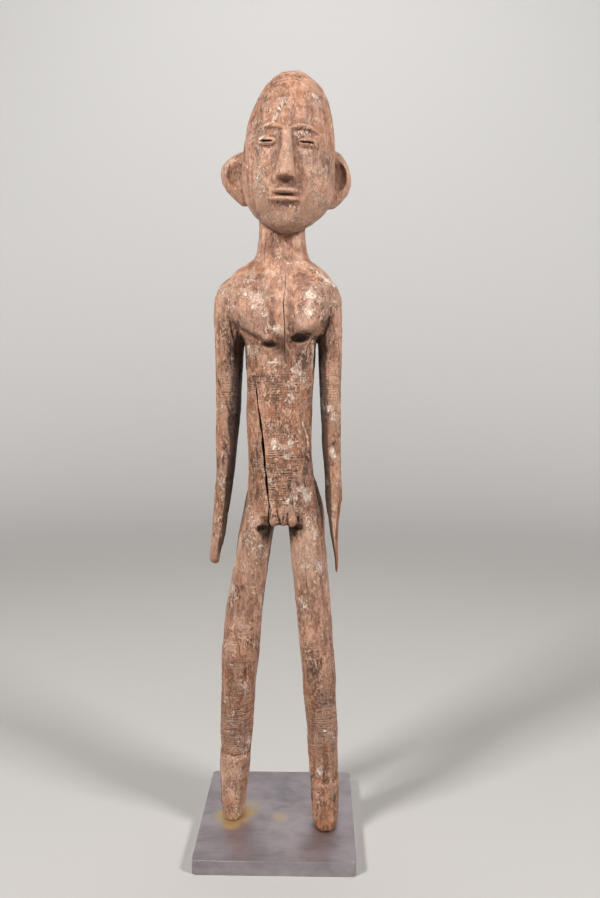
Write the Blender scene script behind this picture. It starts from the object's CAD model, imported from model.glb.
"""The looks of a tall carved ancestor figure of weathered wood on a satin steel plate.

It is laid out as a Blender add-on and run as a script. Metres, +Z up; the figure looks along -Y.
Lengths named in millimetres are turned into metres with MM.
"""

import math

import bmesh
import bpy
import numpy as np
from mathutils import Euler, Matrix, Vector, kdtree, noise
from mathutils.bvhtree import BVHTree


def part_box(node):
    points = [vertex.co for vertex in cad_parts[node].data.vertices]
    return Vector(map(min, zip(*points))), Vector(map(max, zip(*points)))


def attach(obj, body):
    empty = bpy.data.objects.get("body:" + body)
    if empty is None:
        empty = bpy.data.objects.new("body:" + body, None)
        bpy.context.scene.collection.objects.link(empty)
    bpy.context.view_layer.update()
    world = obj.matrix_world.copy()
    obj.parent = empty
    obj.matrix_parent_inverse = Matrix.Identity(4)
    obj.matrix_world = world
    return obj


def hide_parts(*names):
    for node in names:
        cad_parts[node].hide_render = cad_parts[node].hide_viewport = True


bl_info = {
    "name": "Carved Ancestor Figure",
    "version": (1, 0, 0),
    "blender": (4, 5, 0),
    "location": "View3D > Sidebar > Figure",
    "description": "Dresses the plain model of a carved figure in weathered wood and satin steel",
    "category": "Object",
}

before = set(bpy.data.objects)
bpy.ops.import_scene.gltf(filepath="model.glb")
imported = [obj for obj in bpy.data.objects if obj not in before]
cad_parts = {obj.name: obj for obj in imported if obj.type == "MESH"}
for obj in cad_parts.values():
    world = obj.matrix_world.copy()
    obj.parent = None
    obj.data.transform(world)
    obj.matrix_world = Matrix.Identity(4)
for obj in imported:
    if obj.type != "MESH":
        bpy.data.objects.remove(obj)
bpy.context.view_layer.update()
FIGURE_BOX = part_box("figure")
PLATE_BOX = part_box("base_plate")
MM = 0.001
MERGE_GAP = 0.01 * MM
SEED = Vector((3.1, 7.7, 1.3))

# Edges that turn by more degrees than this are shaded sharp
SHARP_WOOD = 55
SHARP_STEEL = 40

# How a pattern's shift number moves it along x, y and z
SHIFT_SHARES = (1, 2.3, 1.7)

# Places on the figure, in millimetres in the frame
FACE_MIDDLE = (12, -45, 622)
FACE_REACH = (34, 26, 50)
HEAD_MIDDLE_X = 12
BODY_MIDDLE_X = 4
LEFT_ANKLE_Z = 77
RIGHT_ANKLE_Z = 56

# Zones of the figure: pairs say where a zone's edge starts and where the zone is full
SMOOTH_Z = (440, 570)
FOOT_EDGE = 4
LEFT_FOOT_X = (10, 0)
RIGHT_FOOT_X = (0, 10)
LEFT_ARM_X = (-30, -36)
LEFT_ARM_TOP = (500, 470)
LEFT_ARM_END = (250, 330)
ARM_REACH = (30, 34)
INNER_ARM_TOP = (505, 480)
INNER_ARM_END = (265, 300)
EAR_REACH = (42, 46)
EAR_END = (590, 596)
THIN_TIP_X = (50, 53)
THIN_TIP_TOP = (320, 290)

# The split hand: heights, and how far out the old surface goes there
SPLIT_Z = (262, 285, 300, 310, 325, 347)
SPLIT_X = (55.2, 56.0, 55.6, 56.4, 57.4, 61.0)
SPLIT_TOP = (356, 340)
SPLIT_END = (250, 262)

# The blunt hand's bare tip and the worn toe
BLUNT_X = (-48, -52)
BLUNT_TOP = (286, 270)
BLUNT_END = (255, 265)
TOE_X = (30, 34)
TOE_Y = (-15, -23)
TOE_TOP = (28, 19)

# Amber film on the plate: middle, reach and strength
AMBER_SPOTS = (
    ((-44, -8, 14), 27, 1.1),
    ((-32, 8, 14), 22, 0.5),
    ((-44, -19, 14), 14, 0.6),
    ((3, -8, 14), 13, 0.5),
)

# Pale clay residue on the front: middle x, z, half width, half height, strength
RESIDUE_PATCHES = (
    (-13, 517, 8, 9, 0.75),
    (-18, 522, 9, 7, 0.7),
    (-28, 523, 8, 6, 0.55),
    (-21, 538, 4, 4, 0.75),
    (-10.5, 506, 6, 6, 0.6),
    (-50, 530, 5, 6, 0.5),
    (2.5, 492, 3.5, 5, 1.2),
    (-3, 463.5, 4, 1.8, 1.25),
    (0.4, 465, 1.6, 3, 1.2),
    (32, 523, 7, 5, 0.85),
    (34, 517, 3, 7, 0.7),
    (31, 508, 6, 6, 0.85),
    (49, 535, 6, 3, 1.0),
    (-20, 474, 9, 7, 0.6),
    (21, 456, 7, 5, 0.75),
    (25, 449, 5, 5, 0.6),
    (10, 443, 7, 6, 0.4),
    (14, 431, 5, 6, 0.6),
    (29.5, 428, 3, 10, 0.5),
    (0, 389, 4, 5, 0.95),
    (9, 386, 4, 4, 0.85),
    (13, 390, 2.5, 4, 0.85),
    (9, 378, 4, 3, 0.95),
    (29.5, 339, 3.5, 6, 1.3),
    (24, 347, 6, 5, 1.0),
    (19, 340, 4, 4, 0.8),
    (12, 338, 4, 4, 0.8),
    (22, 330, 9, 5, 0.5),
    (-19, 417, 3, 9, 0.6),
    (-4.5, 355, 2, 5, 0.7),
    (-24, 318, 4, 12, 0.6),
    (-27, 300, 6, 12, 0.6),
    (-12, 285, 9, 8, 0.45),
    (-20, 316, 7, 3, 0.75),
    (36.5, 303, 2.5, 7, 1.0),
    (31, 316, 6, 8, 0.5),
    (40, 273, 5, 6, 0.8),
    (36, 283, 5, 8, 0.45),
    (24, 239, 5, 5, 0.7),
    (-41.6, 249, 2.2, 7, 0.85),
    (-15.5, 238, 2, 10, 0.8),
    (-34, 216, 7, 3, 0.4),
    (-30, 154, 4, 7, 0.65),
    (-46, 185, 2, 10, 0.45),
    (-28.5, 92, 3.5, 7, 0.85),
    (-33, 84, 6, 3, 0.75),
    (-44, 118, 4, 9, 0.4),
    (-42, 106, 5, 5, 0.5),
    (39, 104, 4, 7, 0.6),
    (51, 106, 5, 9, 0.65),
    (41, 68, 3.5, 4, 1.0),
    (-50, 422, 3.5, 4, 0.7),
    (-50, 350, 4, 8, 0.6),
    (42, 425, 2, 5, 0.95),
    (49, 420, 5, 4, 0.85),
    (53, 412, 3, 3, 0.85),
    (53, 380, 3, 5, 0.9),
    (48, 352, 2.4, 2.6, 1.3),
    (50, 335, 3, 4, 0.5),
    (-10, 655, 5, 7, 0.55),
    (2, 655, 5, 3, 0.6),
    (8, 685, 6, 5, 0.55),
    (34, 688, 7, 4, 0.45),
    (-11, 612, 6, 9, 0.6),
    (38, 625, 6, 3, 0.75),
    (12, 640, 5, 4, 0.5),
    (-16, 668, 9, 8, 0.42),
    (-14, 615, 8, 10, 0.5),
    (24, 655, 9, 6, 0.35),
    (38, 606, 6, 8, 0.35),
    (2, 560, 4, 8, 0.5),
    (12, 549, 18, 3, 0.45),
    (-44, 50, 10, 24, 0.32),
    (48, 18, 6, 4, 0.4),
)

# Strokes of residue on the front: points x, z, width and strength
RESIDUE_STROKES = (
    (((9, 684), (6, 678), (3, 670), (-3, 664), (-8, 660)), 1.6, 1.0),
    (((-8, 660), (-11, 652), (-13, 645)), 2.4, 0.75),
    (((28, 690), (33, 692.5), (38, 690), (40, 686)), 1.8, 0.95),
    (((-2.6, 580), (3, 575), (5, 569)), 1.4, 0.8),
    (((-41.6, 530), (-42, 515), (-42, 504)), 0.9, 1.2),
    (((37.5, 544), (45, 538.6), (49, 535), (54, 532)), 1.4, 1.4),
    (((11, 551.5), (20, 552.6), (28, 551), (36, 545.4)), 1.1, 0.85),
    (((53, 530), (54, 518), (49, 513)), 0.9, 0.95),
    (((-2.6, 462.8), (-9, 462), (-22, 461)), 0.7, 0.75),
    (((34.2, 482), (34.6, 474), (34, 457)), 0.9, 1.2),
    (((-2, 393.5), (0, 389.6), (-1, 385.7)), 1.4, 1.2),
    (((3, 389), (6.5, 386.5), (14, 389.6), (19.7, 391.8)), 1.1, 1.1),
    (((24.3, 408.8), (26.6, 402.4), (29.7, 394), (29.7, 388), (28, 384)), 1.0, 1.1),
    (((41.9, 425), (46, 421.5), (51, 418.4), (54, 413.6), (57, 410)), 1.6, 1.1),
    (((-20.3, 290.5), (-17, 293), (-11.7, 293.7), (-6.7, 292)), 1.3, 1.2),
    (((-7.5, 288.2), (-11, 285.8), (-8.4, 281.5), (-13.4, 281.2), (-15.8, 277.5), (-20.5, 275.8)), 1.1, 1.1),
    (((36.2, 304), (37, 299), (34.7, 296)), 1.7, 1.1),
    (((41.9, 277), (42.4, 269)), 1.8, 0.95),
    (((23.5, 238.7), (26.7, 234.6), (30, 233.3)), 1.4, 1.0),
    (((-15, 238), (-14.8, 230.6), (-17.5, 227)), 1.0, 0.9),
    (((-26.4, 95.3), (-31.6, 93.4), (-33.5, 90.8)), 1.5, 0.95),
    (((47, 112), (52.5, 109.5), (54.5, 102.4)), 1.6, 0.85),
    (((-56, 72), (-47, 73), (-39, 76), (-30, 75), (-28, 72)), 1.0, 0.7),
)

# Dark stains on the front, given the same way as the patches
STAIN_PATCHES = (
    (-38, 158, 11, 16, 0.36),
    (-42, 118, 8, 22, 0.30),
    (37, 168, 8, 26, 0.40),
    (38, 118, 12, 22, 0.38),
    (44, 84, 7, 12, 0.34),
    (25, 467, 7, 9, 0.9),
    (45, 507, 5, 13, 0.8),
    (-29, 499, 13, 7, 0.75),
    (-46, 490, 5, 14, 0.4),
    (-3, 448, 10, 6, 0.55),
    (5, 402, 13, 7, 0.45),
    (3, 366, 10, 10, 0.4),
    (-40, 176, 14, 8, 0.55),
    (-40, 97, 12, 10, 0.5),
    (48, 140, 10, 12, 0.55),
    (40, 640, 12, 9, 0.4),
    (13, 592, 16, 5, 0.4),
    (-8, 597, 9, 7, 0.6),
    (46.5, 631, 4, 8, 0.9),
    (-28, 640, 6, 2, 0.8),
    (-57, 300, 5, 12, 0.35),
    (30, 190, 6, 22, 0.35),
    (-39, 470, 6, 14, 0.8),
    (-39, 425, 6, 40, 0.85),
    (-43, 360, 6, 40, 0.8),
    (-48, 310, 6, 20, 0.5),
    (43, 452, 4, 30, 0.7),
    (46, 390, 3.5, 40, 0.5),
    (44, 36, 9, 14, 0.45),
    (8, 312, 14, 6, 0.35),
)

# Deep shade and soot under the loins and breasts, given the same way
DEEP_PATCHES = (
    (-8, 306.5, 7.5, 7, 1.3),
    (16.5, 307, 4.5, 5, 1.2),
    (14, 583, 13, 4, 0.55),
    (26, 486.5, 11, 3.8, 1.15),
    (-5, 480, 9, 3.2, 1.0),
)

# Height and lightness of the wood there
TONES = (
    (14, 0.52),
    (62, 0.50),
    (82, 0.35),
    (125, 0.24),
    (160, 0.29),
    (205, 0.63),
    (285, 0.78),
    (312, 0.53),
    (400, 0.42),
    (430, 0.51),
    (480, 0.60),
    (545, 0.60),
    (565, 0.59),
    (610, 0.60),
    (650, 0.51),
    (720, 0.49),
)

# The way out of the figure at its front and at its back
FRONT = -1
BACK = 1

# The long crack down the belly, x, z from top to bottom
BELLY_CRACK = (
    (-17.8, 447),
    (-15.6, 424),
    (-12.3, 402),
    (-10.3, 382),
    (-8.5, 360),
    (-7, 343),
    (-5.6, 331),
    (-6.8, 319),
    (-6.6, 309),
    (-7.6, 298),
)

# The crack down the middle of the chest, given the same way
CHEST_CRACK = ((9.8, 543), (10, 531), (8.5, 520), (8.4, 509), (9.6, 495), (9, 477), (8.9, 457))

# Long drying cracks: points x, z from one end to the other, width, depth and the face they open on
CRACKS = {
    "belly": (BELLY_CRACK, 3.1, 12, FRONT),
    "chest": (CHEST_CRACK, 1.05, 7, FRONT),
    "thigh": (((27, 286), (28.6, 262), (30.4, 240), (32, 222)), 0.7, 4, FRONT),
    "outer_thigh": (((43, 268), (45.6, 232), (47.5, 205)), 0.55, 3, FRONT),
    "right_shin": (((35, 200), (36.4, 180), (38, 158)), 0.5, 3, FRONT),
    "neck": (((-9, 577), (-9.6, 560), (-9.2, 549)), 0.5, 3, FRONT),
    "crown_front": (((-9, 695), (-13, 672), (-16, 652)), 0.5, 4, FRONT),
    "back": (((4, 540), (3.2, 500), (5, 455), (4.4, 410), (3.4, 372)), 1.4, 8, BACK),
    "back_head": (((16, 700), (18.5, 672), (17.4, 640), (19, 612)), 1.1, 7, BACK),
    "back_thigh": (((30, 250), (33, 215), (34.6, 180)), 0.8, 4, BACK),
}

# Carved creases on the front: points x, z, width and depth
CREASES = (
    (((-41.5, 532), (-41.8, 515), (-41.5, 503), (-37, 486)), 1.1, 1.1),
    (((50, 530), (50.5, 515), (48, 500), (43, 487)), 1.1, 1.2),
    (((-22, 690), (-27, 662), (-29.3, 640), (-29.5, 616), (-26.5, 598)), 0.7, 0.7),
    (((-17, 662), (-18.6, 635), (-19, 612), (-17, 597)), 1.3, 0.5),
    (((-9, 696), (3, 704.5), (18, 706), (31, 700.5)), 0.8, 0.5),
    (((42, 560), (30, 556), (12, 553), (-4, 556)), 2.2, 0.4),
    (((1, 331), (3, 322), (5.3, 315)), 0.9, 1.5),
    (((9, 331), (8.5, 324), (7, 317)), 0.7, 0.7),
    (((12, 326), (11.6, 320), (12.3, 314)), 0.9, 1.3),
)

# Area lights: place, the point each one faces, size, power and colour
FIGURE_MIDDLE = (0, 0, 0.4)
BACKDROP_MIDDLE = (0, 2.2, 1.1)
LIGHTS = {
    "left_light": ((-1.0, -0.8, 1.4), FIGURE_MIDDLE, 0.34, 33, (1.0, 0.965, 0.92)),
    "right_light": ((1.1, -0.62, 1.3), FIGURE_MIDDLE, 0.34, 24.5, (1.0, 0.965, 0.93)),
    "top_light": ((0.1, 0.2, 1.9), FIGURE_MIDDLE, 0.8, 2, (0.96, 0.98, 1.0)),
    "backdrop_light": ((0, 0.7, 2.2), BACKDROP_MIDDLE, 1.2, 12, (1.0, 0.99, 0.98)),
}


def millimetres(places):
    return places / MM


def colour_property(name, description, default):
    """A colour that the panel shows and lets the user change."""
    return bpy.props.FloatVectorProperty(
        name=name, description=description, subtype="COLOR", default=default
    )


class FigureWood(bpy.types.PropertyGroup):
    """Sizes and colours of the weathered wood."""

    skin: bpy.props.FloatProperty(
        name="Skin fineness",
        description="Size of the cells that the carved skin is built from",
        default=0.7 * MM,
        unit="LENGTH",
    )
    triangles: bpy.props.IntProperty(
        name="Triangles",
        description="Most triangles that the figure may have",
        default=185000,
    )
    facet_depth: bpy.props.FloatProperty(
        name="Facet depth",
        description="How far the flats left by the adze stand in or out",
        default=0.5 * MM,
        unit="LENGTH",
    )
    grain_depth: bpy.props.FloatProperty(
        name="Grain depth",
        description="Height of the weathered grain's ridges",
        default=0.2 * MM,
        unit="LENGTH",
    )
    dark: colour_property("Dark wood", "Colour of the darkest grain", (0.056, 0.022, 0.012))
    middle: colour_property("Wood", "Colour of most of the wood", (0.205, 0.082, 0.043))
    tan: colour_property("Tan wood", "Colour of smooth, lighter wood", (0.40, 0.188, 0.110))
    light: colour_property("Light wood", "Colour of dry, worn wood", (0.68, 0.425, 0.305))
    warm: colour_property("Warm wood", "Colour of the orange-brown areas", (0.35, 0.138, 0.058))
    dusty: colour_property("Dusty wood", "Colour of the greyish pink areas", (0.30, 0.162, 0.122))
    soot: colour_property("Soot", "Colour of the grime in hollows", (0.028, 0.014, 0.009))
    residue: colour_property("Residue", "Colour of the thin clay film", (0.68, 0.465, 0.375))
    chalk: colour_property("Chalk", "Colour of the thick pale crust", (0.95, 0.79, 0.66))
    stain: colour_property("Stain", "Colour of the dark purplish stains", (0.080, 0.038, 0.028))
    fresh: colour_property("Broken wood", "Colour of wood bared by a break", (0.46, 0.18, 0.070))


class FigurePlate(bpy.types.PropertyGroup):
    """Sizes and colour of the steel plate."""

    corner: bpy.props.FloatProperty(
        name="Corner radius",
        description="Radius of the upright corners",
        default=4 * MM,
        unit="LENGTH",
    )
    easing: bpy.props.FloatProperty(
        name="Edge easing",
        description="Radius of the eased edges",
        default=0.5 * MM,
        unit="LENGTH",
    )
    amber: colour_property("Amber film", "Colour of the film round the foot", (0.76, 0.58, 0.27))
    colour: colour_property("Steel", "Colour of the steel", (0.50, 0.452, 0.485))


class FigureStage(bpy.types.PropertyGroup):
    """The floor, the light and the camera."""

    floor: colour_property("Floor", "Colour of the floor and backdrop", (0.44, 0.432, 0.424))
    room_light: bpy.props.FloatProperty(
        name="Room light",
        description="How strongly the room lights the figure",
        default=0.03,
        subtype="FACTOR",
    )
    room_brightness: bpy.props.FloatProperty(
        name="Room brightness",
        description="How bright the room looks past the edge of the floor",
        default=0.42,
        subtype="FACTOR",
    )
    camera_height: bpy.props.FloatProperty(
        name="Camera height",
        description="Height of the lens above the floor",
        default=0.466,
        unit="LENGTH",
    )
    camera_distance: bpy.props.FloatProperty(
        name="Camera distance",
        description="Distance from the lens to the figure",
        default=0.703,
        unit="LENGTH",
    )


class Value:
    """A number that varies over a surface. Arithmetic on it adds Math nodes to its recipe."""

    def __init__(self, recipe, socket):
        self.recipe = recipe
        self.socket = socket

    def math(self, operation, first, second=0.0, clamp=False):
        settings = {"operation": operation, "use_clamp": clamp}
        return self.recipe.node("ShaderNodeMath", settings, {0: first, 1: second})

    def __add__(self, other):
        return self.math("ADD", self, other)

    def __sub__(self, other):
        return self.math("SUBTRACT", self, other)

    def __rsub__(self, other):
        return self.math("SUBTRACT", other, self)

    def __mul__(self, other):
        return self.math("MULTIPLY", self, other)

    __radd__ = __add__
    __rmul__ = __mul__

    def size(self):
        return self.math("ABSOLUTE", self)

    def sine(self):
        return self.math("SINE", self)

    def clamped(self):
        return self.math("ADD", self, 0.0, clamp=True)

    def rise(self, low, high):
        """0 below low, 1 above high, and a smooth rise between them. It falls where low is over high."""
        settings = {"interpolation_type": "SMOOTHSTEP"}
        limits = {"From Min": low, "From Max": high}
        if high < low:
            limits = {"From Min": high, "From Max": low, "To Min": 1.0, "To Max": 0.0}
        return self.recipe.node("ShaderNodeMapRange", settings, {"Value": self, **limits})


class Recipe:
    """One material's node tree."""

    def __init__(self, name):
        self.material = bpy.data.materials.new(name)
        self.material.use_nodes = True
        self.tree = self.material.node_tree
        self.tree.nodes.clear()
        self.coordinates = self.node("ShaderNodeTexCoord", output="Object")

    def node(self, kind, settings=None, inputs=None, output=0):
        """Adds a node: its settings first, then its sockets' values or links. Returns one output."""
        made = self.tree.nodes.new(kind)
        for name, setting in (settings or {}).items():
            if name == "stops":
                self.set_stops(made.color_ramp, setting)
            else:
                setattr(made, name, setting)
        for key, value in (inputs or {}).items():
            if isinstance(value, Value):
                self.tree.links.new(value.socket, made.inputs[key])
            elif hasattr(value, "__len__") and len(value) == 3 and made.inputs[key].type == "RGBA":
                made.inputs[key].default_value = (*value, 1)
            else:
                made.inputs[key].default_value = value
        return Value(self, made.outputs[output])

    @staticmethod
    def set_stops(ramp, stops):
        while len(ramp.elements) < len(stops):
            ramp.elements.new(0.5)
        for element, (place, colour) in zip(ramp.elements, stops):
            element.position = place
            element.color = (*colour, 1)

    def attribute(self, name):
        return self.node("ShaderNodeAttribute", {"attribute_name": name}, output="Fac")

    def stretched(self, size, shift):
        """Coordinates in which one unit is that many millimetres along x, y and z."""
        inputs = {
            "Vector": self.coordinates,
            "Location": tuple(shift * share for share in SHIFT_SHARES),
            "Scale": tuple(1 / (length * MM) for length in size),
        }
        return self.node("ShaderNodeMapping", None, inputs)

    def noise(self, size, shift=0.0, detail=3.0, roughness=0.5, distortion=0.0):
        """Smooth noise from 0 to 1, with lumps of that many millimetres along x, y and z."""
        inputs = {
            "Vector": self.stretched(size, shift),
            "Scale": 1.0,
            "Detail": detail,
            "Roughness": roughness,
            "Distortion": distortion,
        }
        return self.node("ShaderNodeTexNoise", None, inputs)

    def cells(self, size, shift=0.0):
        """The distance to the nearest of many spots, in spaces of that many millimetres."""
        inputs = {"Vector": self.stretched(size, shift), "Scale": 1.0}
        return self.node("ShaderNodeTexVoronoi", {"feature": "F1"}, inputs, "Distance")

    def near(self, middle, reach):
        """1 at a place given in millimetres, and 0 from reach millimetres away."""
        ends = {0: self.coordinates, 1: tuple(length * MM for length in middle)}
        gap = self.node("ShaderNodeVectorMath", {"operation": "DISTANCE"}, ends, "Value")
        return (1 - gap * (1 / (reach * MM))).clamped()

    def mix(self, first, second, factor):
        """A colour that goes from the first to the second as the factor goes from 0 to 1."""
        # A Mix node set to colours takes them on sockets 6 and 7, and gives the result on output 2
        return self.node("ShaderNodeMix", {"data_type": "RGBA"}, {0: factor, 6: first, 7: second}, 2)

    def ramp(self, factor, *stops):
        return self.node("ShaderNodeValToRGB", {"stops": stops}, {0: factor})

    def bump(self, height, distance, strength=1.0):
        inputs = {"Height": height, "Distance": distance, "Strength": strength}
        return self.node("ShaderNodeBump", None, inputs)

    def finish(self, fixed, varying):
        """Joins the shader's fixed and varying inputs to the output, and returns the material."""
        shader = self.node("ShaderNodeBsdfPrincipled", None, {**fixed, **varying})
        out = self.tree.nodes.new("ShaderNodeOutputMaterial")
        self.tree.links.new(shader.socket, out.inputs["Surface"])
        return self.material


def wood_material(colours):
    """Dry weathered wood with grain, tool ripples, stains, clay residue and fresh breaks."""
    ripple_step = 2.3 * MM
    relief_height = 1.5 * MM
    usual_level = 0.52
    wood = Recipe("weathered_wood")

    # What paint_attributes says about the place
    ripple_zone = wood.attribute("ripple")
    smooth = wood.attribute("smooth")
    level = wood.attribute("tone")
    patch = wood.attribute("residue")
    upright = (1 - ripple_zone * 0.85) * (1 - smooth * 0.6)
    fine = 1 - smooth * 0.45

    # Patterns, from the broadest to the finest, and patches of their own for the residue
    broad = wood.noise((15, 15, 42), 1.0, 3, 0.5)
    mottle = wood.noise((6, 6, 9), 2.0, 6, 0.66, 0.3)
    fleck = wood.noise((1.5, 1.5, 3.4), 3.0, 3, 0.6)
    grain = wood.noise((0.9, 0.9, 15), 4.0, 4, 0.6)
    streak = wood.noise((2.4, 2.4, 36), 5.0, 4, 0.55)
    height_above = wood.node("ShaderNodeSeparateXYZ", None, {0: wood.coordinates}, "Z")
    waver = wood.noise((11, 11, 5), 6.0, 3, 0.5)
    waves = (height_above * (2 * math.pi / ripple_step) + waver * 13).sine()
    rippled = wood.noise((7, 7, 5), 14.0, 4, 0.6).rise(0.42, 0.56) * ripple_zone
    pores = wood.cells((1.3, 1.3, 3.8), 7.0)
    hue = wood.noise((11, 11, 26), 8.0, 4, 0.6, 0.6)
    scatter = wood.noise((10, 10, 15), 9.0, 5, 0.65, 0.5)
    crust = wood.noise((3.0, 3.0, 4.0), 10.0, 6, 0.7, 0.3)
    swirl = wood.noise((6, 6, 8), 11.0, 4, 0.6, 2.2)
    grit = wood.cells((2.0, 2.0, 3.4), 12.0).rise(0.42, 0.20)
    cloud = wood.noise((9, 9, 12), 13.0, 4, 0.55, 0.4)

    # Bare wood, lighter and darker, then warmer and dustier
    tone = level + (broad - 0.5) * (1.6 - smooth * 0.8) + (mottle - 0.5) * 1.3
    tone = tone + (fleck - 0.5) * 0.9 * fine + (cloud - 0.5) * 0.7
    tone = tone + ((streak - 0.5) * 0.8 + (grain - 0.5) * 0.6) * upright
    colour = wood.ramp(
        tone,
        (0.12, colours.dark),
        (0.42, colours.middle),
        (0.66, colours.tan),
        (0.95, colours.light),
    )
    hue = hue - (level - usual_level) * 0.9 - smooth * 0.02
    colour = wood.mix(colour, colours.warm, hue.rise(0.50, 0.64) * 0.55)
    colour = wood.mix(colour, colours.dusty, hue.rise(0.46, 0.32) * 0.55)

    # Ripples, dark in the troughs and light on the crests
    colour = wood.mix(colour, colours.dark, waves.rise(0.2, -0.8) * rippled * 0.8)
    colour = wood.mix(colour, colours.light, waves.rise(0.3, 0.9) * rippled * 0.45)

    # Stains, open grain and pores
    stain = wood.attribute("stain") * 1.1 + (mottle - 0.5) * 0.9 + (scatter - 0.5) * 0.5
    colour = wood.mix(colour, colours.stain, stain.rise(0.10, 0.75) * 0.85)
    dark_grain = grain.rise(0.40, 0.30) * upright * 0.3 + pores.rise(0.18, 0.08) * 0.4
    colour = wood.mix(colour, colours.dark, (dark_grain * fine).clamped())

    # Dry specks, and edges worn light
    sparks = (fleck + (crust - 0.5) * 0.9 + (scatter - 0.5) * 0.9).rise(0.55, 0.66)
    colour = wood.mix(colour, colours.light, sparks * fine * (level * 1.9).clamped() * 0.75)
    worn = (wood.attribute("edge") + (fleck - 0.5) * 1.2).rise(0.3, 0.85)
    colour = wood.mix(colour, colours.light, worn * 0.35)

    # Residue: a thin film, veins and crumbs of chalk on it, and stray grit
    break_up = (crust - 0.5) * 1.8 + (fleck - 0.5) * 1.2 + (scatter - 0.5) * 0.7
    film = (patch + break_up * 0.6).rise(0.24, 0.66) * patch.rise(0.08, 0.3)
    colour = wood.mix(colour, colours.residue, film * (patch * 0.7 + 0.22).clamped())
    vein = (1 - (swirl - 0.5).size() * 16).clamped()
    chalk = (patch * 0.95 + vein * 0.35 + break_up).rise(0.75, 0.97) * patch.rise(0.12, 0.4)
    gritty = (scatter + (crust - 0.5) * 0.8 + patch * 0.5 + smooth * 0.02).rise(0.57, 0.69) * grit
    chalk = (chalk + gritty * 0.7).clamped()
    colour = wood.mix(colour, colours.chalk, chalk * 0.92)

    # Grime in sheltered places and hollows, and bare wood at the breaks
    sheltered = wood.attribute("shelter") + (fleck - 0.5) * 0.3 + (mottle - 0.5) * 0.3
    sheltered = sheltered.rise(0.42, 1.0)
    colour = wood.mix(colour, colours.soot, sheltered * 0.8)
    hollow = (wood.attribute("hollow") + (fleck - 0.5) * 0.4).rise(0.5, 1.2)
    colour = wood.mix(colour, colours.soot, hollow * 0.45)
    bared = (wood.attribute("broken") + (grain - 0.5) * 0.6 + (fleck - 0.5) * 0.4).rise(0.35, 0.7)
    fresh = wood.ramp(streak + (fleck - 0.5) * 0.5, (0.32, colours.dark), (0.6, colours.fresh))
    colour = wood.mix(colour, fresh, bared * 0.85)

    # Fine relief and gloss
    height = (fleck * 0.9 + sparks * 0.3) * fine + mottle * 0.4 + (grain * 0.6 + streak * 0.35) * upright
    height = height + waves * rippled * 0.28 + film * 0.4 + chalk * 0.4
    height = height - pores.rise(0.26, 0.10) * 0.5
    normal = wood.bump(height, relief_height)
    roughness = 0.6 - smooth * 0.08 + film * 0.1 - worn * 0.14
    roughness = roughness + (fleck - 0.5) * 0.3 + (mottle - 0.5) * 0.3
    return wood.finish(
        {"Specular IOR Level": 0.5},
        {"Base Color": colour, "Roughness": roughness, "Normal": normal},
    )


def steel_material(colours):
    """Satin steel brushed from side to side, with cloudy wear, a few specks and an amber film."""
    steel = Recipe("satin_steel")
    cloud = steel.noise((42, 30, 30), 1.0, 4, 0.55)
    smear = steel.noise((16, 9, 9), 2.0, 5, 0.6, 0.6)
    lines = steel.noise((60, 0.7, 0.7), 3.0, 3, 0.6)
    fine = steel.noise((0.6, 0.6, 0.6), 4.0, 2, 0.5)
    specks = steel.cells((9, 9, 9), 5.0)
    dull = tuple(c * 0.6 for c in colours.colour)
    clouding = cloud.rise(0.35, 0.68) * 0.6 + smear.rise(0.42, 0.75) * 0.35 + (lines - 0.5) * 0.5
    colour = steel.mix(colours.colour, dull, clouding.clamped())
    amber = 0.0
    for middle, reach, strength in AMBER_SPOTS:
        spot = steel.near(middle, reach) + (smear - 0.5) * 0.7 + (cloud - 0.5) * 0.4
        amber = spot.rise(0.12, 0.72) * strength + amber
    colour = steel.mix(colour, colours.amber, amber.clamped() * 0.8)
    colour = steel.mix(colour, tuple(c * 0.3 for c in colours.colour), specks.rise(0.07, 0.03) * 0.8)
    roughness = 0.29 + cloud * 0.16 + smear * 0.12 + (lines - 0.5) * 0.16 + amber.clamped() * 0.1
    brush_depth = 0.04 * MM
    normal = steel.bump(fine * 0.4 + lines, brush_depth, 0.6)
    return steel.finish(
        {"Metallic": 1.0},
        {"Base Color": colour, "Roughness": roughness, "Normal": normal},
    )


def floor_material(settings):
    """Pale matt paint that glows a little far from the figure, where the lights don't reach."""
    paint = Recipe("pale_floor")
    tone = paint.noise((900, 900, 900), 1.0, 2, 0.4)
    shade = paint.mix(settings.floor, tuple(c * 0.97 for c in settings.floor), tone)
    far = (1 - paint.near((0, 0, 0), 4500)).rise(0.2, 0.65)
    glow = paint.mix((0, 0, 0), tuple(c * 0.85 for c in settings.floor), far)
    return paint.finish(
        {"Roughness": 0.9, "Specular IOR Level": 0.2, "Emission Strength": 1.0},
        {"Base Color": shade, "Emission Color": glow},
    )


def surface(mesh):
    """The places and normals of a mesh's points, as rows."""
    places = np.empty(len(mesh.vertices) * 3)
    normals = np.empty(len(mesh.vertices) * 3)
    mesh.vertices.foreach_get("co", places)
    mesh.vertices.foreach_get("normal", normals)
    return places.reshape(-1, 3), normals.reshape(-1, 3)


def put_places(mesh, places):
    mesh.vertices.foreach_set("co", places.ravel())
    mesh.update()


def put_attribute(mesh, name, values):
    attribute = mesh.attributes.new(name, "FLOAT", "POINT")
    attribute.data.foreach_set("value", np.clip(values, 0, 1).astype(np.float32))


def settle(obj):
    """Makes the object's modifiers part of its mesh."""
    graph = bpy.context.evaluated_depsgraph_get()
    mesh = bpy.data.meshes.new_from_object(obj.evaluated_get(graph))
    plain = obj.data
    obj.modifiers.clear()
    obj.data = mesh
    bpy.data.meshes.remove(plain)


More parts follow.
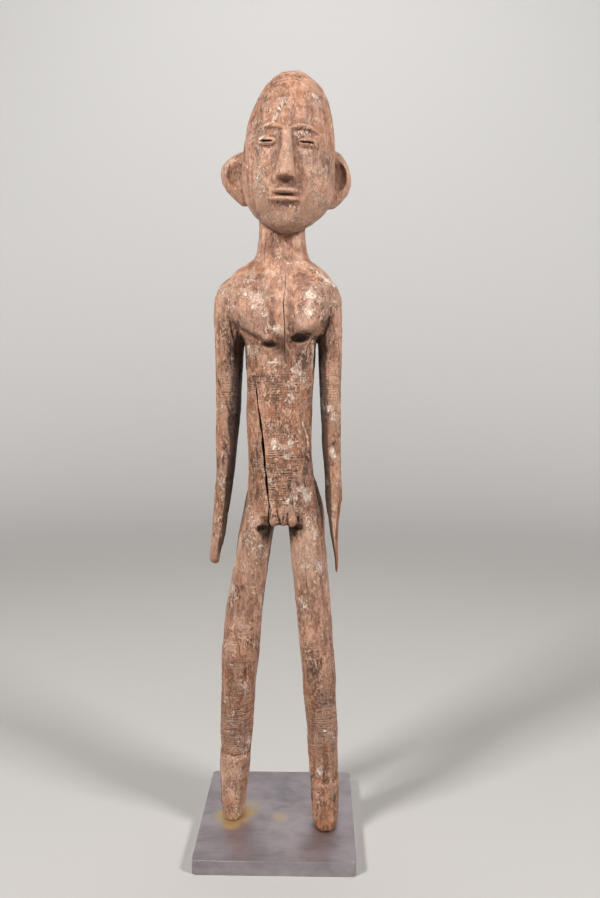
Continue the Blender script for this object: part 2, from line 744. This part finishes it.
def ramp_between(values, low, high):
    """0 at low, 1 at high, and a smooth rise between them. It falls where low is over high."""
    share = np.clip((values - low) / (high - low), 0, 1)
    return share * share * (3 - 2 * share)


def band(values, middle, reach):
    """1 at the middle, and fading over that reach on both sides."""
    return np.exp(-(((values - middle) / reach) ** 2))


def front_facing(normals):
    """1 where the surface faces the front, and 0 where it turns to the back."""
    return ramp_between(-normals[:, 1], -0.1, 0.35)


def ankle_height(points):
    """The height of the ledge at each point's own ankle."""
    return np.where(points[:, 0] < 0, LEFT_ANKLE_Z, RIGHT_ANKLE_Z)


def lumps(points, across, along, shift=0.0):
    """Noise from -1 to 1 at points in millimetres, with lumps stretched along the grain."""
    scaled = points / np.array((across, across, along)) + np.array(SEED) * (1 + shift)
    return np.array([noise.noise(Vector(point)) for point in scaled])


def facets(points, across, along, count):
    """The flats an adze leaves: round each of many spots the surface tilts its own way."""
    tallest = 1.2
    blend = 0.45
    rng = np.random.default_rng(11)
    stretch = np.array((1 / across, 1 / across, 1 / along))
    spots = points[rng.integers(0, len(points), count)] * stretch
    tilts = rng.normal(0, 0.8, (count, 3))
    steps = rng.uniform(-0.3, 0.3, count)
    tree = kdtree.KDTree(count)
    for i, spot in enumerate(spots):
        tree.insert(Vector(spot), i)
    tree.balance()
    found = [tree.find_n(Vector(point), 2) for point in points * stretch]
    nearest = np.array([[hit[1] for hit in pair] for pair in found])
    reach = np.array([[hit[2] for hit in pair] for pair in found])
    offsets = (points * stretch)[:, None] - spots[nearest]
    heights = np.clip((offsets * tilts[nearest]).sum(2) + steps[nearest], -tallest, tallest)
    lead = 0.5 + 0.5 * ramp_between(reach[:, 1] - reach[:, 0], 0, blend)
    return heights[:, 0] * lead + heights[:, 1] * (1 - lead)


def groove(points, path, width, depth):
    """The depth of a groove along a path of x, z points."""
    best = np.full(len(points), np.inf)
    flat = points[:, (0, 2)]
    for start, end in zip(path, path[1:]):
        a, b = np.array(start, float), np.array(end, float)
        along = np.clip(((flat - a) @ (b - a)) / ((b - a) @ (b - a)), 0, 1)
        best = np.minimum(best, np.linalg.norm(flat - (a + along[:, None] * (b - a)), axis=1))
    return depth * np.exp(-((best / width) ** 2))


def edge_wander(points, shift):
    """How far the edges of the patches stray, as a share of a patch's half width."""
    return 0.6 * lumps(points, 8, 8, shift) + 0.55 * lumps(points, 3.2, 3.2, shift + 0.1)


def patch_strength(points, normals, patches):
    """How strongly each point lies in one of the patches on the front."""
    total = np.zeros(len(points))
    wander_across = edge_wander(points, 0.8)
    wander_up = edge_wander(points, 1.0)
    for x, z, half_width, half_height, strength in patches:
        across = (points[:, 0] - x) / half_width + wander_across
        up = (points[:, 2] - z) / half_height + wander_up
        total = np.maximum(total, strength * np.exp(-0.8 * (across * across + up * up)))
    return total * front_facing(normals)


def stroke_strength(points, normals, strokes):
    """How strongly each point lies in one of the thin strokes on the front."""
    wander = 1.1
    shifted = points.copy()
    shifted[:, 0] += wander * lumps(points, 4, 4, 1.2)
    shifted[:, 2] += wander * lumps(points, 4, 4, 1.4)
    total = np.zeros(len(points))
    for path, width, strength in strokes:
        total = np.maximum(total, groove(shifted, path, width, strength))
    broken_up = 0.8 + 0.9 * lumps(points, 2.4, 2.4, 1.6)
    return total * broken_up * front_facing(normals)


def smooth_zone(points):
    """Where the wood is worn smoother and the grain hardly shows: head, upper chest and, less so, feet."""
    z = points[:, 2]
    head = ramp_between(z, *SMOOTH_Z)
    feet = ramp_between(ankle_height(points) - z, -3, 3)
    return np.clip(0.9 * head + 0.2 * feet, 0, 1)


def ripple_zone(points):
    """Where the knife chattered across the grain: most on belly and shins, less on ribs and thighs."""
    x, z = points[:, 0], points[:, 2]
    belly = band(x, 3, 20) * band(z, 365, 34)
    shins = band(z, 112, 36) * 0.9
    thighs = band(z, 190, 25) * 0.35
    ribs = band(z, 442, 18) * 0.5
    return np.clip(1.25 * (belly + shins + thighs + ribs), 0, 1)


def tone(points):
    """How light the wood is, by height, with a lighter left foot, a darker left arm and right foot."""
    x, z = points[:, 0], points[:, 2]
    heights, tones = zip(*TONES)
    left_foot = ramp_between(x, *LEFT_FOOT_X) * ramp_between(LEFT_ANKLE_Z - z, -FOOT_EDGE, FOOT_EDGE)
    right_foot = ramp_between(x, *RIGHT_FOOT_X) * ramp_between(RIGHT_ANKLE_Z - z, -FOOT_EDGE, FOOT_EDGE)
    left_arm = ramp_between(x, *LEFT_ARM_X) * ramp_between(z, *LEFT_ARM_TOP) * ramp_between(z, *LEFT_ARM_END)
    return np.interp(z, heights, tones) + 0.08 * left_foot - 0.08 * left_arm - 0.16 * right_foot


def inner_arms(points, normals):
    """The sides of the arms that face the body, which kept their old dark surface."""
    x, z = points[:, 0], points[:, 2]
    inward = np.where(x < 0, normals[:, 0], -normals[:, 0])
    arms = ramp_between(np.abs(x - BODY_MIDDLE_X), *ARM_REACH)
    arms = arms * ramp_between(z, *INNER_ARM_TOP) * ramp_between(z, *INNER_ARM_END)
    return arms * ramp_between(inward, -0.1, 0.6)


def broken_zone(points):
    """Bared wood: the split outer side of the broken hand, the other hand's tip and a worn toe."""
    x, y, z = points.T
    past_edge = x - np.interp(z, SPLIT_Z, SPLIT_X)
    split = ramp_between(past_edge, -0.6, 0.8) * ramp_between(z, *SPLIT_TOP) * ramp_between(z, *SPLIT_END)
    blunt = ramp_between(x, *BLUNT_X) * ramp_between(z, *BLUNT_TOP) * ramp_between(z, *BLUNT_END)
    toe = ramp_between(x, *TOE_X) * ramp_between(z, *TOE_TOP) * ramp_between(y, *TOE_Y)
    return np.clip(split + 0.75 * blunt + 0.9 * toe, 0, 1)


def face_zone(points):
    """1 on the face, where the carving is finer."""
    offsets = (points - np.array(FACE_MIDDLE)) / np.array(FACE_REACH)
    return ramp_between((offsets**2).sum(1), 1.3, 0.7)


def neighbour_means(values, edges, count):
    """For each point, the mean of the values at the points that its edges lead to."""
    degree = np.bincount(edges.ravel(), minlength=count)
    total = np.stack(
        [
            np.bincount(edges[:, 0], values[edges[:, 1], k], count)
            + np.bincount(edges[:, 1], values[edges[:, 0], k], count)
            for k in range(values.shape[1])
        ],
        axis=1,
    )
    return total / np.maximum(degree, 1)[:, None]


def relief(mesh, rounds):
    """How hollow each point lies against its surroundings, in millimetres. Raised points are below 0."""
    places, normals = surface(mesh)
    edges = np.empty(len(mesh.edges) * 2, np.int64)
    mesh.edges.foreach_get("vertices", edges)
    edges = edges.reshape(-1, 2)
    smooth = places
    for _ in range(rounds):
        smooth = neighbour_means(smooth, edges, len(places))
    return ((smooth - places) * normals).sum(1) / MM


def shelter(figure, places, normals):
    """How much of the space close in front of each point the figure itself takes up, from 0 to 1."""
    reach = 26 * MM
    lift = 0.6 * MM
    spread = 0.85
    gain = 1.6
    corners = [vertex.co for vertex in figure.data.vertices]
    faces = [polygon.vertices for polygon in figure.data.polygons]
    tree = BVHTree.FromPolygons(corners, faces)
    rng = np.random.default_rng(5)
    fans = rng.normal(0, 1, (8, 3))
    fans *= spread / np.linalg.norm(fans, axis=1)[:, None]
    taken = np.zeros(len(places))
    for i, (place, normal) in enumerate(zip(places, normals)):
        start = Vector(place + normal * lift)
        for fan in fans:
            gap = tree.ray_cast(start, Vector(normal + fan), reach)[3]
            if gap is not None:
                taken[i] += 1 - gap / reach
    return taken / len(fans) * gain


def crack_steps(path):
    """Points along the path, in short even steps."""
    step_length = 2.2
    points = [Vector((x, 0, z)) for x, z in path]
    steps = []
    for start, end in zip(points, points[1:]):
        count = max(2, round((end - start).length / step_length))
        steps += [start.lerp(end, i / count) for i in range(count)]
    return steps + [points[-1]]


def crack_sections(name, path, width, depth, side, tree):
    """The three corners of the crack's wedge at each step: two outside the skin and one deep in it."""
    clear = 2
    tip_share = 0.03
    far_out = 200
    shift = sum(map(ord, name)) * 0.37
    steps = crack_steps(path)
    sections = []
    for i, step in enumerate(steps):
        share = min(1 - tip_share, max(tip_share, i / (len(steps) - 1)))
        opening = width * math.sin(math.pi * share) ** 0.5
        opening *= 0.8 + 0.5 * noise.noise(Vector((shift, 0, step.z / 9)))
        x = step.x + 0.45 * noise.noise(Vector((shift + 5, 0, step.z / 7)))
        start = Vector((x, side * far_out, step.z)) * MM
        hit = tree.ray_cast(start, Vector((0, -side, 0)))[0]
        if hit is None:
            raise RuntimeError(f"crack {name} leaves the figure at {step}")
        out = hit.y / MM + side * clear
        deep = hit.y / MM - side * depth * (opening / width) ** 0.5
        half = 0.5 * opening * (1 + clear / depth)
        corners = ((x - half, out, step.z), (x + half, out, step.z), (x, deep, step.z))
        sections.append([Vector(corner) * MM for corner in corners])
    return sections


def add_crack_cutter(bm, sections):
    """Draws the first section's triangle out through all the others, as one closed wedge."""
    ring = [bm.verts.new(corner) for corner in sections[0]]
    face = bm.faces.new(ring)
    for i, corners in enumerate(sections[1:]):
        grown = bmesh.ops.extrude_face_region(bm, geom=[face])["geom"]
        new_face = next(item for item in grown if isinstance(item, bmesh.types.BMFace))
        new_ring = [min(new_face.verts, key=lambda vert: (vert.co - old.co).length) for old in ring]
        for vert, corner in zip(new_ring, corners):
            vert.co = corner
        if i > 0:
            bmesh.ops.delete(bm, geom=[face], context="FACES_ONLY")
        face, ring = new_face, new_ring


def cut_cracks(figure):
    """Cuts every drying crack out of the figure."""
    tree = BVHTree.FromObject(figure, bpy.context.evaluated_depsgraph_get())
    bm = bmesh.new()
    for name, (path, width, depth, side) in CRACKS.items():
        add_crack_cutter(bm, crack_sections(name, path, width, depth, side, tree))
    bmesh.ops.recalc_face_normals(bm, faces=bm.faces)
    mesh = bpy.data.meshes.new("crack_cutters")
    bm.to_mesh(mesh)
    bm.free()
    cutter = bpy.data.objects.new("crack_cutters", mesh)
    bpy.context.scene.collection.objects.link(cutter)
    modifier = figure.modifiers.new("cracks", "BOOLEAN")
    modifier.operation = "DIFFERENCE"
    modifier.solver = "EXACT"
    modifier.object = cutter
    settle(figure)
    bpy.data.objects.remove(cutter)


def copy_node(node, name):
    """A new object with the CAD node's shape, its loose triangles merged."""
    bm = bmesh.new()
    bm.from_mesh(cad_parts[node].data)
    bmesh.ops.remove_doubles(bm, verts=bm.verts, dist=MERGE_GAP)
    mesh = bpy.data.meshes.new(name)
    bm.to_mesh(mesh)
    bm.free()
    obj = bpy.data.objects.new(name, mesh)
    bpy.context.scene.collection.objects.link(obj)
    return obj


def give(obj, node, material):
    """Hands the finished piece over: it rides on the body and stands for the CAD node."""
    obj.data.materials.clear()
    obj.data.materials.append(material)
    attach(obj, "root")
    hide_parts(node)


def smooth_skin(figure, fineness):
    """The solid's skin in small cells, its joins softened but the face and thin tips kept crisp."""
    remesh = figure.modifiers.new("skin", "REMESH")
    remesh.mode = "VOXEL"
    remesh.voxel_size = fineness
    settle(figure)
    points = millimetres(surface(figure.data)[0])
    x, z = points[:, 0], points[:, 2]
    tip = ramp_between(x, *THIN_TIP_X) * ramp_between(z, *THIN_TIP_TOP)
    ears = ramp_between(np.abs(x - HEAD_MIDDLE_X), *EAR_REACH) * ramp_between(z, *EAR_END)
    soft = np.clip(1 - face_zone(points) - 0.8 * tip - 0.7 * ears, 0, 1)
    group = figure.vertex_groups.new(name="soft")
    level_count = 20
    levels = np.round(soft * level_count).astype(int)
    for level in np.unique(levels):
        group.add(np.flatnonzero(levels == level).tolist(), level / level_count, "REPLACE")
    smooth = figure.modifiers.new("soften", "SMOOTH")
    smooth.factor = 0.5
    smooth.iterations = 12
    smooth.vertex_group = "soft"
    settle(figure)
    figure.vertex_groups.clear()


def carve(figure, wood):
    """Moves the skin in and out: adze flats, weathered grain, tool ripples, pits and creases."""
    places, normals = surface(figure.data)
    points = millimetres(places)
    facet_depth = wood.facet_depth / MM
    grain_depth = wood.grain_depth / MM
    calm = 1 - 0.75 * face_zone(points)
    ripples = ripple_zone(points)
    feet = ramp_between(ankle_height(points) - points[:, 2], -5, 5)
    rough = 1 - 0.55 * smooth_zone(points)
    upright = (0.5 + 0.5 * calm) * (1 - 0.7 * ripples) * rough
    move = 0.42 * lumps(points, 16, 34, 0.1) * calm
    move += facet_depth * facets(points, 9, 22, 560) * calm
    move += grain_depth * (lumps(points, 1.9, 30, 0.2) + lumps(points, 3.8, 50, 0.3)) * upright
    move += 0.22 * lumps(points, 2.6, 3.6, 0.7) * (0.35 + 0.65 * calm) * rough
    move += 0.42 * lumps(points, 11, 1.5, 0.4) * ripples
    move += 0.5 * lumps(points, 1.3, 24, 0.6) * broken_zone(points)
    pits = ramp_between(lumps(points, 1.7, 2.6, 0.5), 0.42, 0.75)
    move -= pits * (0.3 * rough + 0.6 * feet) * calm
    front = ramp_between(-normals[:, 1], -0.3, 0.3)
    for path, width, depth in CREASES:
        move -= front * groove(points, path, width, depth)
    places = places + normals * (move * MM)[:, None]
    low, high = (np.array(corner) for corner in FIGURE_BOX)
    put_places(figure.data, np.clip(places, low, high))


def paint_attributes(figure):
    """Stores on the mesh what the wood material asks about each point."""
    mesh = figure.data
    places, normals = surface(mesh)
    points = millimetres(places)
    put_attribute(mesh, "hollow", relief(mesh, 24) * 0.9)
    put_attribute(mesh, "edge", -relief(mesh, 8) * 2.0)
    deep = patch_strength(points, normals, DEEP_PATCHES) + 1.05 * inner_arms(points, normals)
    put_attribute(mesh, "shelter", shelter(figure, places, normals) + deep)
    patches = patch_strength(points, normals, RESIDUE_PATCHES)
    strokes = stroke_strength(points, normals, RESIDUE_STROKES)
    put_attribute(mesh, "residue", np.maximum(patches, strokes))
    put_attribute(mesh, "stain", patch_strength(points, normals, STAIN_PATCHES))
    put_attribute(mesh, "ripple", ripple_zone(points))
    put_attribute(mesh, "smooth", smooth_zone(points))
    put_attribute(mesh, "tone", tone(points))
    put_attribute(mesh, "broken", broken_zone(points))


class FIGURE_OT_carving(bpy.types.Operator):
    """Carves and paints the wooden figure over its CAD solid"""

    bl_idname = "figure.carving"
    bl_label = "Wooden Figure"

    def execute(self, context):
        wood = context.scene.figure_wood
        figure = copy_node("figure", "carved_figure")
        smooth_skin(figure, wood.skin)
        carve(figure, wood)
        skin_triangles = 2 * len(figure.data.polygons)
        thin = figure.modifiers.new("thin", "DECIMATE")
        thin.ratio = min(1, wood.triangles / skin_triangles)
        settle(figure)
        cut_cracks(figure)
        figure.data.shade_smooth()
        figure.data.set_sharp_from_angle(angle=math.radians(SHARP_WOOD))
        paint_attributes(figure)
        give(figure, "figure", wood_material(wood))
        return {"FINISHED"}


class FIGURE_OT_plate(bpy.types.Operator):
    """Makes the satin steel plate that the figure stands on"""

    bl_idname = "figure.plate"
    bl_label = "Steel Plate"

    def execute(self, context):
        settings = context.scene.figure_plate
        low, high = PLATE_BOX
        in_place = Matrix.Translation((low + high) / 2) @ Matrix.Diagonal((*(high - low), 1))
        bm = bmesh.new()
        bmesh.ops.create_cube(bm, size=1, matrix=in_place)
        uprights = [edge for edge in bm.edges if self.rise_of(edge) > (high.z - low.z) / 2]
        self.round_off(bm, uprights, settings.corner, 8)
        rims = [edge for edge in bm.edges if self.rise_of(edge) < MERGE_GAP]
        self.round_off(bm, rims, settings.easing, 3)
        mesh = bpy.data.meshes.new("satin_plate")
        bm.to_mesh(mesh)
        bm.free()
        plate = bpy.data.objects.new("satin_plate", mesh)
        context.scene.collection.objects.link(plate)
        mesh.shade_smooth()
        mesh.set_sharp_from_angle(angle=math.radians(SHARP_STEEL))
        give(plate, "base_plate", steel_material(settings))
        return {"FINISHED"}

    @staticmethod
    def rise_of(edge):
        return abs(edge.verts[0].co.z - edge.verts[1].co.z)

    @staticmethod
    def round_off(bm, edges, radius, segments):
        bmesh.ops.bevel(
            bm, geom=edges, offset=radius, segments=segments, profile=0.5, affect="EDGES", material=-1
        )


def area_light(name, place, target, size, power, colour):
    """A square light that faces the target."""
    light = bpy.data.lights.new(name, "AREA")
    light.energy = power
    light.size = size
    light.color = colour
    lamp = bpy.data.objects.new(name, light)
    lamp.location = place
    lamp.rotation_euler = (Vector(target) - Vector(place)).to_track_quat("-Z", "Y").to_euler()
    bpy.context.scene.collection.objects.link(lamp)


class FIGURE_OT_stage(bpy.types.Operator):
    """Adds the pale floor and backdrop, the soft lights and the camera"""

    bl_idname = "figure.stage"
    bl_label = "Stage"

    def execute(self, context):
        settings = context.scene.figure_stage
        self.add_floor(settings)
        self.add_lights(context, settings)
        self.add_camera(context, settings)
        return {"FINISHED"}

    def add_floor(self, settings):
        """A floor that curves up into a backdrop: one profile drawn out sideways."""
        reach, back, bend, height = 6, 2.2, 0.9, 4
        bend_steps = 12
        profile = [(-reach, 0), (back - bend, 0)]
        for i in range(1, bend_steps + 1):
            turn = math.pi / 2 * i / bend_steps
            profile.append((back - bend + bend * math.sin(turn), bend - bend * math.cos(turn)))
        profile.append((back, height))
        bm = bmesh.new()
        line = [bm.verts.new((-reach, y, z)) for y, z in profile]
        edges = [bm.edges.new(pair) for pair in zip(line, line[1:])]
        drawn = bmesh.ops.extrude_edge_only(bm, edges=edges)["geom"]
        far_side = [item for item in drawn if isinstance(item, bmesh.types.BMVert)]
        bmesh.ops.translate(bm, verts=far_side, vec=(2 * reach, 0, 0))
        bmesh.ops.recalc_face_normals(bm, faces=bm.faces)
        mesh = bpy.data.meshes.new("floor")
        bm.to_mesh(mesh)
        bm.free()
        mesh.shade_smooth()
        floor = bpy.data.objects.new("floor", mesh)
        bpy.context.scene.collection.objects.link(floor)
        mesh.materials.append(floor_material(settings))

    def add_lights(self, context, settings):
        """The area lights, and a world that is pale to look at but lights the figure only a little."""
        for name, (place, target, size, power, colour) in LIGHTS.items():
            area_light(name, place, target, size, power, colour)
        world = bpy.data.worlds.new("soft_room")
        world.use_nodes = True
        background = world.node_tree.nodes["Background"]
        background.inputs["Color"].default_value = (0.98, 0.97, 0.96, 1)
        path = world.node_tree.nodes.new("ShaderNodeLightPath")
        strength = world.node_tree.nodes.new("ShaderNodeMapRange")
        strength.inputs["To Min"].default_value = settings.room_light
        strength.inputs["To Max"].default_value = settings.room_brightness
        world.node_tree.links.new(path.outputs["Is Camera Ray"], strength.inputs["Value"])
        world.node_tree.links.new(strength.outputs["Result"], background.inputs["Strength"])
        context.scene.world = world

    def add_camera(self, context, settings):
        """The photograph's viewpoint: a little right of the figure, level with its chest, looking down."""
        lens_side = 0.038
        pitch = 6.82
        yaw = 1.29
        camera = bpy.data.cameras.new("photo_camera")
        camera.sensor_width = 36
        camera.lens = 30
        obj = bpy.data.objects.new("photo_camera", camera)
        obj.location = (lens_side, -settings.camera_distance, settings.camera_height)
        obj.rotation_euler = Euler((math.radians(90 - pitch), 0, math.radians(yaw)))
        context.scene.collection.objects.link(obj)
        context.scene.camera = obj
        context.scene.view_settings.view_transform = "Standard"


class FIGURE_PT_panel(bpy.types.Panel):
    """Lists the pieces and their settings"""

    bl_label = "Ancestor Figure"
    bl_space_type = "VIEW_3D"
    bl_region_type = "UI"
    bl_category = "Figure"

    def draw(self, context):
        for group, operator in (
            (context.scene.figure_wood, FIGURE_OT_carving),
            (context.scene.figure_plate, FIGURE_OT_plate),
            (context.scene.figure_stage, FIGURE_OT_stage),
        ):
            box = self.layout.box()
            for name in group.__annotations__:
                box.prop(group, name)
            box.operator(operator.bl_idname)


CLASSES = (
    FigureWood,
    FigurePlate,
    FigureStage,
    FIGURE_OT_carving,
    FIGURE_OT_plate,
    FIGURE_OT_stage,
    FIGURE_PT_panel,
)


def register():
    for cls in CLASSES:
        bpy.utils.register_class(cls)
    bpy.types.Scene.figure_wood = bpy.props.PointerProperty(type=FigureWood)
    bpy.types.Scene.figure_plate = bpy.props.PointerProperty(type=FigurePlate)
    bpy.types.Scene.figure_stage = bpy.props.PointerProperty(type=FigureStage)


def unregister():
    del bpy.types.Scene.figure_stage
    del bpy.types.Scene.figure_plate
    del bpy.types.Scene.figure_wood
    for cls in reversed(CLASSES):
        bpy.utils.unregister_class(cls)


def main():
    register()
    bpy.ops.figure.carving()
    bpy.ops.figure.plate()
    bpy.ops.figure.stage()
    bpy.context.view_layer.update()


if __name__ == "__main__":
    main()
